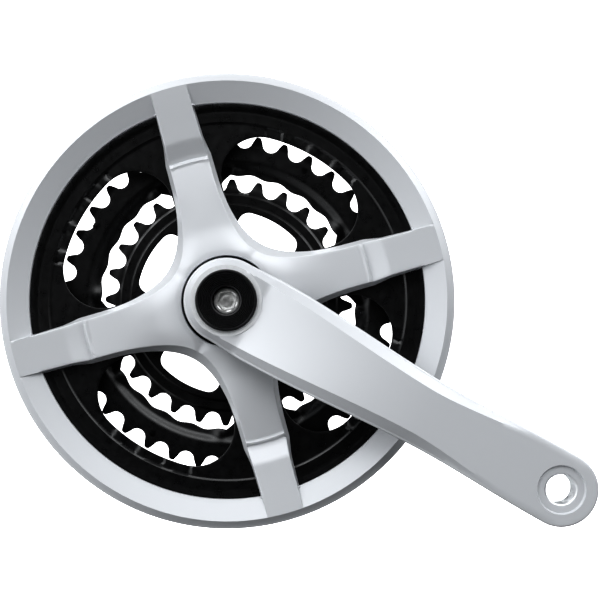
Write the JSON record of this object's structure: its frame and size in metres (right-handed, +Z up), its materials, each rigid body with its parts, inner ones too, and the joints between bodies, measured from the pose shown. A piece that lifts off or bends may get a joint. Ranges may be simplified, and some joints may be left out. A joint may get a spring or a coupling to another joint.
{
  "type": "bicycle crankset",
  "caption": "Right-hand bicycle crankset with a square-taper arm, riveted steel chainrings in falling sizes and a silver chain guard with four arms.",
  "frame": {"origin": "on the axle's centreline, at the mouth of the arm's square socket", "axes": "+X forward on the bicycle, +Y along the axle towards the frame (the outside face looks along -Y), +Z up; the arm rests 29.5 degrees below +X"},
  "size_m": [0.2693, 0.052, 0.2096],
  "materials": {
    "alloy": "silver-painted forged aluminium, satin",
    "silver_paint": "silver-painted moulding, satin",
    "black_steel": "black-coated steel, semi-gloss",
    "bright_steel": "zinc-plated steel",
    "black_plastic": "black moulded plastic"
  },
  "bodies": {
    "crankset": {"crank_arm": "alloy", "bolt_washer": "bright_steel", "bolt_cap": "black_plastic", "chain_guard": "silver_paint", "guard_screws": "bright_steel", "outer_chainring": "black_steel", "middle_chainring": "black_steel", "inner_chainring": "black_steel", "middle_rivets": "bright_steel", "inner_rivets": "bright_steel", "middle_spacers": "bright_steel", "inner_spacers": "bright_steel", "outer_shift_pins": "black_steel", "middle_shift_pins": "black_steel"},
    "bolt": {"crank_bolt": "bright_steel"}
  },
  "joints": [
    {"name": "bolt_turn", "type": "hinge", "parent": "crankset", "child": "bolt", "pos_m": [0, -0.02, 0], "axis": [0, -1, 0], "continuous": true}
  ]
}
